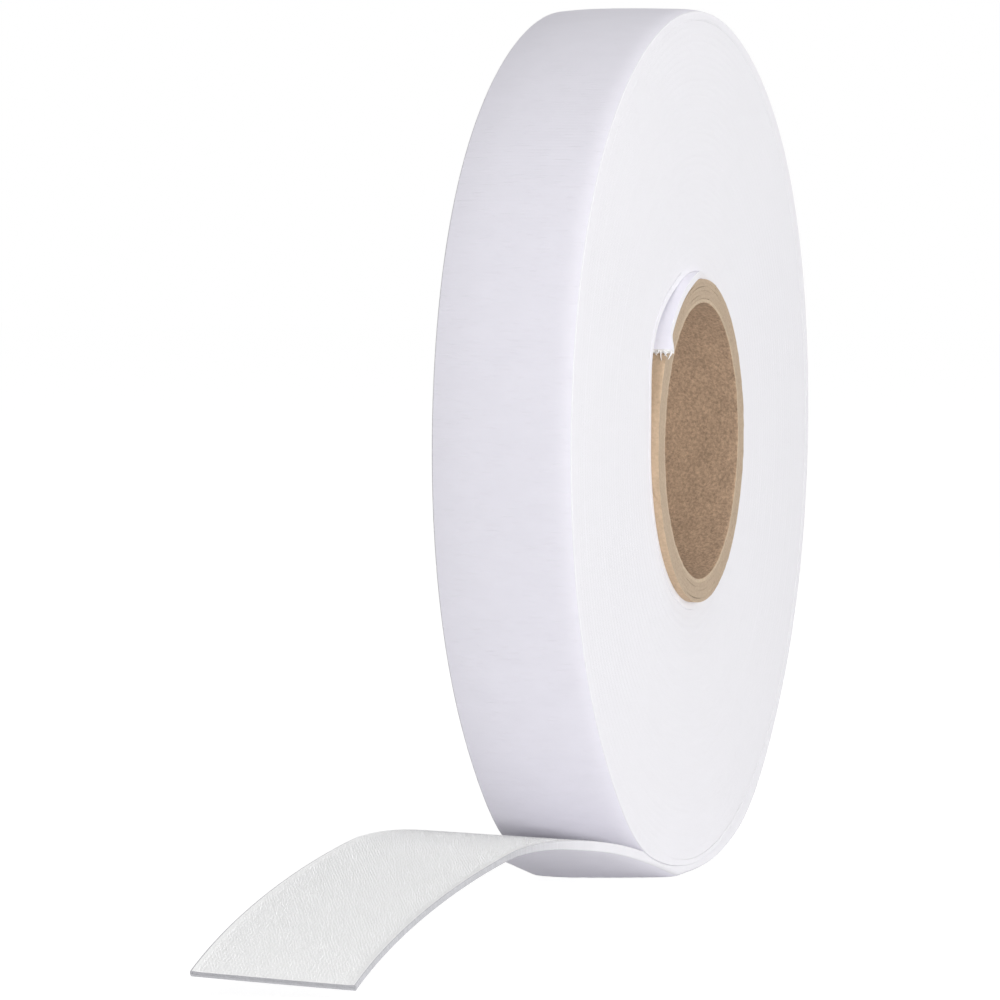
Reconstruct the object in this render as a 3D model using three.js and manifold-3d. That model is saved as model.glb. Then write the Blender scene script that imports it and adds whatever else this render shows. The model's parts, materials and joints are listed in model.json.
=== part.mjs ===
// A roll of hook and loop tape on a spiral-wound paper core, standing on its rim with the free end drawn out.
// Units are millimetres and +Z is up. The roll's axis runs along Y above the origin, which lies on the floor.
// Seen from -Y, with +X to the right, the tape winds outwards clockwise and its free end leaves towards -X.
import * as THREE from "three";
import { mergeVertices } from "three/addons/utils/BufferGeometryUtils.js";
import Module from "manifold-3d";

const wasm = await Module();
wasm.setup();

// Driving dimensions: the tape and the roll that it makes
const ROLL_DIAMETER = 240;
const TAPE_WIDTH = 38;
const TAPE_THICKNESS = 1.6;
const REST_FLAT_DEPTH = 0.5; // the outer turn is pressed flat where the roll stands on it
const OUTER_LAP = 20; // degrees that the outer turn's inner end runs on under its own outer end

// Driving dimensions: the paper core
const CORE_BORE = 76;
const CORE_LENGTH = 39.2;
const PLY_COUNT = 6;
const PLY_THICKNESS = 0.95;
const PLY_SEAM_GAP = 0.5; // each ply is a strip whose edges butt along a helix
const PLY_LEAD = 135; // length of core in which a seam goes once round

// Driving dimensions: the tape's start on the core, with polar angles in degrees seen from -Y
const START_ANGLE = 146; // where the tape's inner end is cut off
const START_OVERHANG = 2.6; // the start was laid on askew, and stands out of the roll's side
const OVERHANG_HELD = 36; // turn over which it stands out fully
const OVERHANG_FADE = 40; // turn over which it then goes back in line
const STEP_SPAN = 34; // turn before the start at which the second turn leaves the core to step over it
const STEP_RISE = 18; // straight stretch of that step
const STEP_SHOULDER = 20; // reach of the bend that brings the second turn back onto the first
const LANDING_ANGLE = 95; // where it lies on the first turn again

// Driving dimensions: the free end, measured from the roll's lowest line towards -X
const HUMP_START = 18;
const HUMP_RUN_UP = 24; // how gently the tape starts to lift
const CREST_REACH = 180;
const CREST_HEIGHT = 22.3;
const CREST_RUN_IN = 81; // how gently it levels out before the crest
const CREST_RUN_OUT = 14; // and how it turns down after the crest
const TIP_REACH = 303; // where the underside comes down to the floor
const TIP_HEIGHT = 0.7;
const TIP_RUN = 30;
const TIP_SLOPE = 0.37;
const CREST_SKEW = 10; // the crest lies askew: nearer on the -Y edge and farther on the +Y edge by this
const CREST_LEAN = 1.6; // and the +Y edge stands higher than the middle by this
const TAIL_REACH = 296; // to the middle of the cut end
const TIP_SKEW = 3.2; // the cut is a little oblique
const FLEX_REACH = 160; // where the free end bends when it is lifted

// Clearances
const GLUE_GAP = 0.16; // between the core's plies
const SEAT_GAP = 0.3; // between pieces that lie on each other
const LAP_GAP = 0.5; // between turns of one strip
const RUNNING_GAP = 0.4; // between the packed turns and the outer turn, inside which they can turn

// Fineness of the round shapes
const CORE_FACETS = 60;
const ROLL_FACETS = 120;
const TURN_STEP = 3; // degrees between the sections of a wound strip
const TAIL_STEP = 8; // length between the sections of the free end
const SEAM_SECTIONS = 10;
const HUMP_POINTS = 240;

// Worked out from the driving dimensions
const rollRadius = ROLL_DIAMETER / 2;
const axisHeight = rollRadius - REST_FLAT_DEPTH;
const halfWidth = TAPE_WIDTH / 2;
const plyPitch = PLY_THICKNESS + GLUE_GAP;
const coreRadius = CORE_BORE / 2 + PLY_COUNT * plyPitch - GLUE_GAP;
const turnPitch = TAPE_THICKNESS + LAP_GAP;
const firstTurnRadius = coreRadius + SEAT_GAP; // of the first turn's inner face
const outerSweep = 360 + OUTER_LAP;
const packedRadius = rollRadius - (turnPitch * outerSweep) / 360 - TAPE_THICKNESS - RUNNING_GAP;

const radians = THREE.MathUtils.degToRad;

// A solid for joining and cutting, from a closed geometry.
function solidOf(geometry) {
  const bare = geometry.clone();
  bare.deleteAttribute("normal");
  bare.deleteAttribute("uv");
  const merged = mergeVertices(bare);
  const vertProperties = merged.getAttribute("position").array;
  const triVerts = new Uint32Array(merged.index.array);
  return new wasm.Manifold(new wasm.Mesh({ numProp: 3, vertProperties, triVerts }));
}

// The geometry of a solid that has been joined or cut.
function geometryOf(solid) {
  const made = solid.getMesh();
  const geometry = new THREE.BufferGeometry();
  geometry.setAttribute("position", new THREE.BufferAttribute(made.vertProperties, made.numProp));
  geometry.setIndex(new THREE.BufferAttribute(made.triVerts, 1));
  geometry.computeVertexNormals();
  return geometry;
}

// A closed solid through a row of four-cornered sections, with flat ends.
function loft(sections) {
  const corners = 4;
  const triangles = [];
  for (let row = 0; row + 1 < sections.length; row++) {
    for (let corner = 0; corner < corners; corner++) {
      const a = row * corners + corner;
      const b = row * corners + ((corner + 1) % corners);
      triangles.push(a, b + corners, b, a, a + corners, b + corners);
    }
  }
  const last = (sections.length - 1) * corners;
  triangles.push(0, 1, 2, 0, 2, 3);
  triangles.push(last, last + 2, last + 1, last, last + 3, last + 2);
  const geometry = new THREE.BufferGeometry().setFromPoints(sections.flat());
  geometry.setIndex(triangles);
  geometry.computeVertexNormals();
  return geometry;
}

// A strip's section from its two edges, each with a corner on the outer or lower face and one on the other.
function stripSection(front, rear) {
  return [rear.lower, rear.upper, front.upper, front.lower];
}

// The least distance of a wound strip from itself, seen along the roll's axis: the nearest two points
// of sections that lie at least half a turn apart.
function leastSelfGap(sections, sectionsPerTurn) {
  let least = Infinity;
  sections.forEach((section, i) => {
    sections.slice(i + Math.round(sectionsPerTurn / 2)).forEach((other) => {
      for (const a of section) {
        for (const b of other) {
          least = Math.min(least, Math.hypot(a.x - b.x, a.z - b.z));
        }
      }
    });
  });
  return least;
}

// Core: plies of paper strip, one round the other, each with an open butt seam along a helix
function corePly(index) {
  const inner = CORE_BORE / 2 + index * plyPitch;
  const outer = inner + PLY_THICKNESS;
  const end = CORE_LENGTH / 2;
  const corners = [[inner, -end], [outer, -end], [outer, end], [inner, end], [inner, -end]];
  const profile = corners.map(([r, along]) => new THREE.Vector2(r, along));
  const tube = solidOf(new THREE.LatheGeometry(profile, CORE_FACETS));
  return geometryOf(tube.subtract(seamCutter(inner, outer, (index * 360) / PLY_COUNT)));
}

// A thin helical wall that cuts a ply's seam from inside to outside and past both ends.
function seamCutter(inner, outer, startAngle) {
  const half = PLY_SEAM_GAP / 2;
  const sections = [];
  for (let i = 0; i <= SEAM_SECTIONS; i++) {
    const along = (i / SEAM_SECTIONS - 0.5) * (CORE_LENGTH + 2 * PLY_THICKNESS);
    const turn = radians(startAngle + (360 * along) / PLY_LEAD);
    const radial = new THREE.Vector3(Math.sin(turn), 0, Math.cos(turn));
    const side = new THREE.Vector3(Math.cos(turn), 0, -Math.sin(turn));
    const at = (r, across) =>
      new THREE.Vector3(0, along, 0).addScaledVector(radial, r).addScaledVector(side, across);
    const low = inner - PLY_THICKNESS;
    const high = outer + PLY_THICKNESS;
    sections.push([at(low, -half), at(low, half), at(high, half), at(high, -half)]);
  }
  return solidOf(loft(sections));
}

// First turn: the line of its inner face, from the cut end clockwise round the core and up over that end
const landing = new THREE.Vector2(1, 0)
  .rotateAround(new THREE.Vector2(), radians(LANDING_ANGLE))
  .multiplyScalar(firstTurnRadius + turnPitch);
const landingHeading = new THREE.Vector2(landing.y, -landing.x).normalize();
const leaveAngle = START_ANGLE + STEP_SPAN;
const leaveHeading = new THREE.Vector2(1, 0).rotateAround(new THREE.Vector2(), radians(leaveAngle - 90));
const leavePoint = new THREE.Vector2(1, 0)
  .rotateAround(new THREE.Vector2(), radians(leaveAngle))
  .multiplyScalar(firstTurnRadius);
const stepTop = leavePoint.clone().addScaledVector(leaveHeading, STEP_RISE);
const stepHandle = stepTop.clone().addScaledVector(leaveHeading, STEP_SHOULDER);
const landingHandle = landing.clone().addScaledVector(landingHeading, -STEP_SHOULDER);

const firstTurnLine = new THREE.Path();
firstTurnLine.absarc(0, 0, firstTurnRadius, radians(START_ANGLE), radians(leaveAngle - 360), true);
firstTurnLine.lineTo(stepTop.x, stepTop.y);
firstTurnLine.bezierCurveTo(stepHandle.x, stepHandle.y, landingHandle.x, landingHandle.y, landing.x, landing.y);

const firstTurnSweep = THREE.MathUtils.radToDeg(firstTurnLine.getLength() / firstTurnRadius);
const firstTurnSteps = Math.round(firstTurnSweep / TURN_STEP);
const firstTurnStep = firstTurnSweep / firstTurnSteps; // degrees round the core

// Points of that line, each moved outwards by the given distance.
function firstTurnPoints(outwards) {
  return Array.from({ length: firstTurnSteps + 1 }, (_, i) => {
    const heading = firstTurnLine.getTangentAt(i / firstTurnSteps);
    const outward = new THREE.Vector2(-heading.y, heading.x);
    return firstTurnLine.getPointAt(i / firstTurnSteps).addScaledVector(outward, outwards);
  });
}

// How far the tape stands out of the roll's side at a turn, in degrees, from its cut end.
function overhang(turn) {
  const fade = THREE.MathUtils.smoothstep(turn, OVERHANG_HELD, OVERHANG_HELD + OVERHANG_FADE);
  return START_OVERHANG * (1 - fade);
}

function firstTurn() {
  const inner = firstTurnPoints(0);
  const outer = firstTurnPoints(TAPE_THICKNESS);
  const sections = inner.map((point, i) => {
    const out = overhang(i * firstTurnStep);
    const edge = (y) => ({
      lower: new THREE.Vector3(outer[i].x, y - out, axisHeight + outer[i].y),
      upper: new THREE.Vector3(point.x, y - out, axisHeight + point.y),
    });
    return stripSection(edge(-halfWidth), edge(halfWidth));
  });
  console.log("first_turn: least gap to itself", leastSelfGap(sections, 360 / firstTurnStep).toFixed(2), "mm");
  return loft(sections);
}

// Packed turns: one plain ring from the first turn out to the outer turn, with the first turn's form inside
function packedTurns() {
  const ring = new THREE.Shape();
  ring.absarc(0, 0, packedRadius, 0, 2 * Math.PI, false);
  const wall = firstTurnPoints(TAPE_THICKNESS + SEAT_GAP);
  const shoulder = landing.clone().addScaledVector(landingHeading, SEAT_GAP);
  const wallEnd = wall[wall.length - 1].clone().addScaledVector(landingHeading, SEAT_GAP);
  const ledge = shoulder.clone().setLength(firstTurnRadius + TAPE_THICKNESS + SEAT_GAP);
  const passed = wall.filter((_, i) => i * firstTurnStep > START_ANGLE - LANDING_ANGLE + firstTurnStep / 2);
  ring.holes.push(new THREE.Path([ledge, ...passed, wallEnd]));
  const settings = { depth: TAPE_WIDTH, bevelEnabled: false, curveSegments: ROLL_FACETS };
  return new THREE.ExtrudeGeometry(ring, settings);
}

// Free end: the height of its underside over the roll's lowest line, by distance along -X
const hump = new THREE.Path().moveTo(HUMP_START, 0);
hump.bezierCurveTo(
  HUMP_START + HUMP_RUN_UP, 0, CREST_REACH - CREST_RUN_IN, CREST_HEIGHT, CREST_REACH, CREST_HEIGHT,
);
hump.bezierCurveTo(
  CREST_REACH + CREST_RUN_OUT, CREST_HEIGHT,
  TIP_REACH - TIP_RUN, TIP_HEIGHT + TIP_RUN * TIP_SLOPE, TIP_REACH, TIP_HEIGHT,
);
const humpPoints = hump.getSpacedPoints(HUMP_POINTS);

function humpHeight(reach) {
  if (reach <= HUMP_START) return 0;
  const next = humpPoints.findIndex((point) => point.x >= reach);
  if (next < 0) return TIP_HEIGHT - (reach - TIP_REACH) * TIP_SLOPE;
  const [a, b] = [humpPoints[next - 1], humpPoints[next]];
  return THREE.MathUtils.mapLinear(reach, a.x, b.x, a.y, b.y);
}

// The underside's height at a reach on one edge, where side is -1 on the -Y edge and 1 on the +Y edge.
function undersideHeight(reach, side) {
  const lean = 1 + (side * CREST_LEAN) / CREST_HEIGHT;
  return humpHeight(reach - side * CREST_SKEW) * lean - REST_FLAT_DEPTH;
}

// One edge of the free end: its lower and upper corner, a tape's thickness apart square to the underside.
function tailEdge(reach, side) {
  const span = TAPE_THICKNESS;
  const rise = undersideHeight(reach + span, side) - undersideHeight(reach - span, side);
  const upward = new THREE.Vector3(rise / (2 * span), 0, 1).normalize();
  const lower = new THREE.Vector3(-reach, side * halfWidth, undersideHeight(reach, side));
  return { lower, upper: lower.clone().addScaledVector(upward, TAPE_THICKNESS) };
}

// Sections of the free end between two lines across it, each given as its reach by side.
function tailSections(from, to) {
  const steps = Math.ceil((to(0) - from(0)) / TAIL_STEP);
  const at = (i, side) => tailEdge(THREE.MathUtils.lerp(from(side), to(side), i / steps), side);
  return Array.from({ length: steps + 1 }, (_, i) => stripSection(at(i, -1), at(i, 1)));
}

// Outer turn: one layer, wound once round and on into the free end as far as the line where that bends
function outerTurn() {
  const turns = [];
  for (let turn = outerSweep; turn > TURN_STEP / 2; turn -= TURN_STEP) {
    const outer = rollRadius - (turnPitch * turn) / 360;
    const direction = new THREE.Vector3(Math.sin(radians(turn)), 0, -Math.cos(radians(turn)));
    const at = (r, y) => new THREE.Vector3(0, y, axisHeight).addScaledVector(direction, r);
    const edge = (y) => ({ lower: at(outer, y), upper: at(outer - TAPE_THICKNESS, y) });
    turns.push(stripSection(edge(-halfWidth), edge(halfWidth)));
  }
  const sections = [...turns, ...tailSections(() => 0, () => FLEX_REACH - SEAT_GAP / 2)];
  console.log("outer_turn: least gap to itself", leastSelfGap(sections, 360 / TURN_STEP).toFixed(2), "mm");
  return geometryOf(solidOf(loft(sections)).subtract(floorBlock()));
}

// The space under the floor, which the outer turn doesn't enter.
function floorBlock() {
  const depth = ROLL_DIAMETER;
  const block = new THREE.BoxGeometry(4 * ROLL_DIAMETER, 2 * TAPE_WIDTH, depth);
  return solidOf(block.translate(0, 0, -depth / 2));
}

function freeEnd() {
  return loft(tailSections(() => FLEX_REACH + SEAT_GAP / 2, (side) => TAIL_REACH + side * TIP_SKEW));
}

// Assembly
const tapeFinish = { color: 0xf1f1f5, roughness: 0.9, metalness: 0 };
const kraftFinish = { color: 0xb6966f, roughness: 0.95, metalness: 0 };
const boardFinish = { color: 0xcbb598, roughness: 0.95, metalness: 0 };

function piece(name, geometry, finish) {
  const mesh = new THREE.Mesh(geometry, new THREE.MeshStandardMaterial(finish));
  mesh.name = name;
  return mesh;
}

const roll = new THREE.Group();
for (let index = 0; index < PLY_COUNT; index++) {
  const ply = piece(`core_ply_${index + 1}`, corePly(index), index === 0 ? kraftFinish : boardFinish);
  ply.position.z = axisHeight;
  roll.add(ply);
}
const packed = piece("packed_turns", packedTurns(), tapeFinish);
packed.rotation.x = Math.PI / 2;
packed.position.set(0, halfWidth, axisHeight);
roll.add(packed);
roll.add(piece("first_turn", firstTurn(), tapeFinish));
roll.add(piece("outer_turn", outerTurn(), tapeFinish));
roll.add(piece("free_end", freeEnd(), tapeFinish));

export default roll;
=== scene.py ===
"""Dresses a roll of white woven hook tape on a spiral-wound paper core, with its free end drawn out.

Every piece is a surface worked out with numpy in metres, in the frame of the packed model: the roll's axis
runs along Y above the origin, the floor is z = 0 and the free end leaves towards -X.
"""
import json
import math

import bpy
import numpy as np
from mathutils import Matrix, Vector


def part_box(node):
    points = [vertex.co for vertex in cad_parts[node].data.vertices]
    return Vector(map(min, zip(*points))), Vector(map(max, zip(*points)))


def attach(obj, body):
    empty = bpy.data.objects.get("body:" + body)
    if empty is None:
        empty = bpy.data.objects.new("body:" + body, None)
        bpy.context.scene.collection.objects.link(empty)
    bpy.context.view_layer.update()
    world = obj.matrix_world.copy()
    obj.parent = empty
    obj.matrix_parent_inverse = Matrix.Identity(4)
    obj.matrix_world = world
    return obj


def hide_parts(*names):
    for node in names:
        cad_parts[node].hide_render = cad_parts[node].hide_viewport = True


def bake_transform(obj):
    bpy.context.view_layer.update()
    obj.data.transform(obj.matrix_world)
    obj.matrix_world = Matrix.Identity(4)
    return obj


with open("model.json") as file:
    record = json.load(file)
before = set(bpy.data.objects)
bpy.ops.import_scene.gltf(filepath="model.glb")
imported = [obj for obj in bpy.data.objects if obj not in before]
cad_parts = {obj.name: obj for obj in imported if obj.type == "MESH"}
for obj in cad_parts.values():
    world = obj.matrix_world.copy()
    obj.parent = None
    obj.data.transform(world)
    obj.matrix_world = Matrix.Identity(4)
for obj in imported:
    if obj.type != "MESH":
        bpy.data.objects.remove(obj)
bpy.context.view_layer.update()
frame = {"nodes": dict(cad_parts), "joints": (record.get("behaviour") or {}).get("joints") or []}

bl_info = {
    "name": "Hook Tape Roll",
    "version": (1, 0, 0),
    "blender": (4, 5, 0),
    "location": "View3D > Sidebar > Tape Roll",
    "description": "Builds a roll of woven hook tape on a paper core, with its free end drawn out",
    "category": "Add Mesh",
}

MM = 0.001
TURN = 2 * math.pi
SHARP_ANGLE = math.radians(50)  # edges bent further than this are shaded sharp


# Places and sizes that come from the packed model

def size_of(node):
    """A packed node's size along X, Y and Z."""
    low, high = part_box(node)
    return high - low


JOINTS = {joint["name"]: joint for joint in frame["joints"]}
AXIS_HEIGHT = JOINTS["roll_spin"]["pos_m"][2]
PLY_NODES = sorted(name for name in frame["nodes"] if name.startswith("core_ply"))
CORE_RADIUS = size_of(PLY_NODES[-1]).x / 2
FIRST_PLY_RADIUS = size_of(PLY_NODES[0]).x / 2


def linear(hex_colour):
    """Linear RGBA of an sRGB colour written as six hex digits."""
    srgb = np.array([int(hex_colour[i:i + 2], 16) for i in (0, 2, 4)]) / 255
    rgb = np.where(srgb <= 0.04045, srgb / 12.92, ((srgb + 0.055) / 1.055) ** 2.4)
    return (*rgb.tolist(), 1.0)


# Settings

def length(name, description, default):
    """A length in metres."""
    return bpy.props.FloatProperty(
        name=name, description=description, default=default, unit="LENGTH", subtype="DISTANCE", precision=5)


def angle(name, description, degrees):
    """An angle, given in degrees and kept in radians."""
    return bpy.props.FloatProperty(
        name=name, description=description, default=math.radians(degrees), unit="ROTATION", subtype="ANGLE")


def share(name, description, default):
    """A plain number."""
    return bpy.props.FloatProperty(name=name, description=description, default=default, precision=3)


def colour(name, description, hex_colour):
    """A colour, given as an sRGB hex value."""
    return bpy.props.FloatVectorProperty(
        name=name, description=description, default=linear(hex_colour),
        size=4, subtype="COLOR", min=0, max=1)


class TapeSizes(bpy.types.PropertyGroup):
    """The tape and the roll that it makes."""

    width: length("Width", "Across the tape, edge to edge", size_of("packed_turns").y)
    thickness: length("Thickness", "Of the free tape where it leaves the roll", 2.7 * MM)
    loose_thickness: length("Loose thickness", "Of the free tape beyond its crest", 1.5 * MM)
    pitch: length("Pitch", "Radial room that one turn takes", 2.1 * MM)
    roll_radius: length("Roll radius", "Outer face where the free end leaves", AXIS_HEIGHT + 0.15 * MM)
    running_radius: length("Running radius", "Of the gap inside which the wound turns can turn", 116.15 * MM)
    running_gap: length("Running gap", "Width of that gap", 0.02 * MM)
    edge_round: length("Edge rounding", "Radius of the edges of the tape's back", 0.3 * MM)
    face_round: length("Face rounding", "Radius of the free end's edges", 0.4 * MM)
    nip_round: length("Nip rounding", "Radius of the edges where the free end leaves the roll", 1.5 * MM)
    nip_span: length("Nip span", "Distance over which that fades", 35 * MM)
    wound_round: length("Wound rounding", "Radius of edges pressed between two turns", 0.03 * MM)
    crown: length("Crown", "How far the back curves away from the tape's middle line to its edges", 0.4 * MM)
    front_shoulder: length("Front shoulder", "Band along the -Y edge where the back rounds off", 4.5 * MM)
    front_drop: length("Front drop", "How far the back falls away there", 0.5 * MM)
    rear_shoulder: length("Rear shoulder", "Band along the +Y edge where the back rounds off", 12 * MM)
    rear_drop: length("Rear drop", "How far the back falls away there", 0.4 * MM)
    upper_slack: length("Upper slack", "How far the outer turn bulges high on both sides", 2.4 * MM)
    lower_slack: length("Lower slack", "How far it bulges beside the floor", 2.1 * MM)
    selvage: length("Selvage", "Plain woven band along each edge, without hooks", 1.1 * MM)
    ground_recess: length("Ground recess", "How far the hooked ground lies under the selvage", 0.15 * MM)


class StartSizes(bpy.types.PropertyGroup):
    """The tape's inner end, which the second turn steps over. Angles are polar, seen from -Y."""

    seat: length("Seat", "Gap between the core and the first turn", 0.04 * MM)
    start_angle: angle("Start", "Where the tape's inner end is cut off", 146)
    landing_angle: angle("Landing", "Where the second turn lies on the first again", 108)
    step_span: angle("Step", "Turn before the start at which the second turn leaves the core", 34)
    step_rise: length("Step rise", "Straight stretch of that step", 18 * MM)
    step_shoulder: length("Step shoulder", "Reach of the bend back onto the first turn", 15 * MM)
    overhang: length("Overhang", "How far the start stands out of the roll's side", 2.0 * MM)
    flare: length("Flare", "How much further its cut corner stands out", 1.5 * MM)
    flare_span: angle("Flare span", "Turn over which that fades", 9)
    overhang_held: angle("Overhang held", "Turn over which it stands out fully", 36)
    overhang_fade: angle("Overhang fade", "Turn over which it then goes back in line", 40)


class TailSizes(bpy.types.PropertyGroup):
    """The free end's humped underside, measured from the roll's lowest line towards -X."""

    hump_start: length("Hump start", "Where the tape lifts off the floor", 18.8 * MM)
    hump_run_up: length("Run up", "How gently it starts to lift", 4.9 * MM)
    crest_reach: length("Crest reach", "Distance to the crest", 168.2 * MM)
    crest_height: length("Crest height", "Of the underside at the crest", 22.68 * MM)
    crest_run_in: length("Run in", "How gently it levels out before the crest", 61.5 * MM)
    crest_run_out: length("Run out", "How it turns down after the crest", 9.9 * MM)
    tip_reach: length("Tip reach", "End of the line that the tip follows", 303 * MM)
    tip_height: length("Tip height", "Height of that line at its end", -1.69 * MM)
    tip_run: length("Tip run", "How long it keeps its last slope", 38.75 * MM)
    tip_slope: share("Tip slope", "Fall over run at the tip", 0.489)
    tip_twist: length("Tip twist", "How far the +Y corner of the cut end turns up", 0.42 * MM)
    crest_skew: length("Crest skew", "How much nearer the crest lies on the -Y edge", 7.3 * MM)
    crest_lean: length("Crest lean", "How much higher the +Y edge stands", 1.78 * MM)
    tail_reach: length("Reach", "To the middle of the cut end", 291.1 * MM)
    tip_skew: length("Cut skew", "How oblique the cut is", 4.55 * MM)


class CoreSizes(bpy.types.PropertyGroup):
    """The spiral-wound paper core."""

    bore_radius: length("Bore radius", "Of the core's inside", FIRST_PLY_RADIUS - 0.95 * MM)
    length: length("Length", "Of the core along its axis", size_of(PLY_NODES[0]).y)
    seam_lead: length("Seam lead", "Length of core in which a ply's seam goes once round", 135 * MM)
    seam_width: length("Seam width", "Of the groove where a ply's edges butt", 0.5 * MM)
    seam_depth: length("Seam depth", "Of that groove", 0.22 * MM)
    end_rough: length("End roughness", "Unevenness of the sawn ends", 0.07 * MM)
    squash: share("Squash", "Share by which the tape's pull has made the core narrower along X", 0.04)
    push: length("Push", "How far the core stands out towards -Y", 0.9 * MM)
    dish: length("Dish", "How far the turns beside the core have sunk in behind it", 0.6 * MM)


class HookSizes(bpy.types.PropertyGroup):
    """The woven-in hooks on the free end's upper face."""

    height: length("Height", "Of a hook over the ground", 0.28 * MM)
    wire: length("Wire", "Radius of the nylon wire", 0.06 * MM)
    bend: length("Bend", "Radius of a hook's bent top", 0.1 * MM)
    row_pitch: length("Row pitch", "Between rows, along the tape", 0.84 * MM)
    hook_pitch: length("Hook pitch", "Between the hooks of a row", 0.76 * MM)
    scatter: length("Scatter", "How far a hook stands off its row", 0.12 * MM)
    first_reach: length("First row", "Reach of the first row clear of the roll", 40 * MM)


class TapeColours(bpy.types.PropertyGroup):
    """Colours of the nylon, the paper and the floor."""

    back: colour("Woven back", "Smooth outer face of the tape", "F0EEF7")
    edge: colour("Selvage", "Edges of the tape, on the roll's sides", "E1E0E4")
    ground: colour("Hooked ground", "Weave that the hooks stand in", "FDFDFD")
    hook: colour("Hooks", "Nylon hook wire", "F5F5F6")
    # Painted shade: this grey stands in for the shade on the cut ends and on the free end's loose edges
    cut: colour("Cut ends", "Yarn ends where the tape is cut", "BCBCC0")
    liner: colour("Core liner", "Brown kraft inside the core", "B2977E")
    board: colour("Core board", "Sawn edges of the core's plies", "AE9B86")
    # Paler than the board: partly the torn ply's own paper, partly a painted highlight along the bore's rim
    torn: colour("Core edge", "Torn edge of the core's innermost ply", "B9A68F")
    outside: colour("Core outside", "Kraft on the core's outside", "C2A98E")
    floor: colour("Floor", "Pale paper floor", "F0F0F0")


class StudioSettings(bpy.types.PropertyGroup):
    """Camera and lamps."""

    azimuth: angle("Azimuth", "Of the camera, from -Y towards -X", 73.476)
    elevation: angle("Elevation", "Of the camera over the roll's axis", 2.4)
    roll: angle("Roll", "Turn of the camera about its view", 0.351)
    distance: length("Distance", "From the camera to the roll's middle", 1.7779)
    focal_pixels: share("Focal length", "In pixels of a picture that is 1000 pixels wide", 6440.0)
    middle_x: share("Middle X", "Pixel at which the roll's middle shows, from the left", 630.8)
    middle_y: share("Middle Y", "Pixel at which the roll's middle shows, from the top", 437.5)
    sky: share("Sky", "Strength of the even light from all round", 0.28)
    top: share("Top lamp", "Power of the wide soft lamp overhead, in watts", 13.3)
    side: share("Side lamp", "Power of the soft lamp at the roll's -Y side, in watts", 4.1)
    low: share("Low lamp", "Power of the long lamp beside the camera, near the floor, in watts", 22.9)


# Mesh helpers

def grid_quads(rows, columns, closed_rows=False, closed_columns=False):
    """Corner indices of the quads of a grid of rows x columns points, numbered row by row."""
    row = np.arange(rows if closed_rows else rows - 1)[:, None]
    column = np.arange(columns if closed_columns else columns - 1)[None, :]
    next_row, next_column = (row + 1) % rows, (column + 1) % columns
    corners = (row * columns + column, row * columns + next_column,
               next_row * columns + next_column, next_row * columns + column)
    return np.stack(corners, axis=-1).reshape(-1, 4)


def add_piece(name, points, faces, finishes, finish_of_face=None, **attributes):
    """A smooth mesh object at the origin from arrays of points and of equal-sided faces.

    Each attribute is one value or one vector for each point, which the materials read by its name.
    """
    points = np.asarray(points, np.float32).reshape(-1, 3)
    mesh = bpy.data.meshes.new(name)
    mesh.vertices.add(len(points))
    mesh.vertices.foreach_set("co", points.ravel())
    mesh.loops.add(faces.size)
    mesh.loops.foreach_set("vertex_index", faces.ravel().astype(np.int32))
    mesh.polygons.add(len(faces))
    mesh.polygons.foreach_set("loop_start", np.arange(0, faces.size, faces.shape[1], dtype=np.int32))
    for finish in finishes:
        mesh.materials.append(finish)
    if finish_of_face is not None:
        mesh.polygons.foreach_set("material_index", finish_of_face.astype(np.int32))
    for key, values in attributes.items():
        values = np.asarray(values, np.float32)
        kind, field = ("FLOAT_VECTOR", "vector") if values.shape[-1] == 3 else ("FLOAT", "value")
        mesh.attributes.new(key, kind, "POINT").data.foreach_set(field, values.ravel())
    mesh.update(calc_edges=True)
    if mesh.validate():
        raise RuntimeError(f"{name} had faces that can't be drawn")
    mesh.shade_smooth()
    mesh.set_sharp_from_angle(angle=SHARP_ANGLE)
    piece = bpy.data.objects.new(name, mesh)
    bpy.context.scene.collection.objects.link(piece)
    return piece


def smoothstep(low, high, x):
    """0 below low, 1 above high and an even S between them."""
    t = np.clip((x - low) / (high - low), 0, 1)
    return t * t * (3 - 2 * t)


def wander(x, seed, waves, amplitude):
    """A smooth uneven line over x in turns: a seeded sum of sines, each with its own waves in a turn."""
    phases = np.random.default_rng(seed).uniform(0, TURN, len(waves))
    total = sum(np.sin(TURN * wave * x + phase) for wave, phase in zip(waves, phases))
    return amplitude * total / len(waves) ** 0.5


def bezier(corners, steps):
    """Points along a cubic curve given by its four corners."""
    t = np.linspace(0, 1, steps)[:, None]
    a, b, c, d = np.asarray(corners, float)
    return a * (1 - t) ** 3 + 3 * b * t * (1 - t) ** 2 + 3 * c * t ** 2 * (1 - t) + d * t ** 3


def unit(vectors):
    """The same directions with length one."""
    return vectors / np.linalg.norm(vectors, axis=-1, keepdims=True)


# Materials

def add_node(tree, kind, inputs=None, **settings):
    """Adds a node, with its settings and with values or other nodes' outputs in its inputs."""
    made = tree.nodes.new(kind)
    for key, value in settings.items():
        setattr(made, key, value)
    for socket, value in (inputs or {}).items():
        if isinstance(value, bpy.types.NodeSocket):
            tree.links.new(value, made.inputs[socket])
        else:
            made.inputs[socket].default_value = value
    return made


def new_finish(name, **constants):
    """An empty material with a Principled shader whose own sockets hold the constant values."""
    finish = bpy.data.materials.new(name)
    finish.use_nodes = True
    shader = finish.node_tree.nodes["Principled BSDF"]
    for socket, value in constants.items():
        shader.inputs[socket.replace("_", " ").title().replace("Ior", "IOR")].default_value = value
    return finish, finish.node_tree, shader


def cached(make):
    """Makes a material once and hands the same one to every piece that asks for it."""
    def get(*arguments):
        name = make.__name__
        return bpy.data.materials.get(name) or make(name, *arguments)
    return get


WAVE_REPEAT = TURN / 20  # length of one repeat of Blender's wave texture at a scale of 1
NYLON_IOR, PAPER_IOR = 1.53, 1.5


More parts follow.
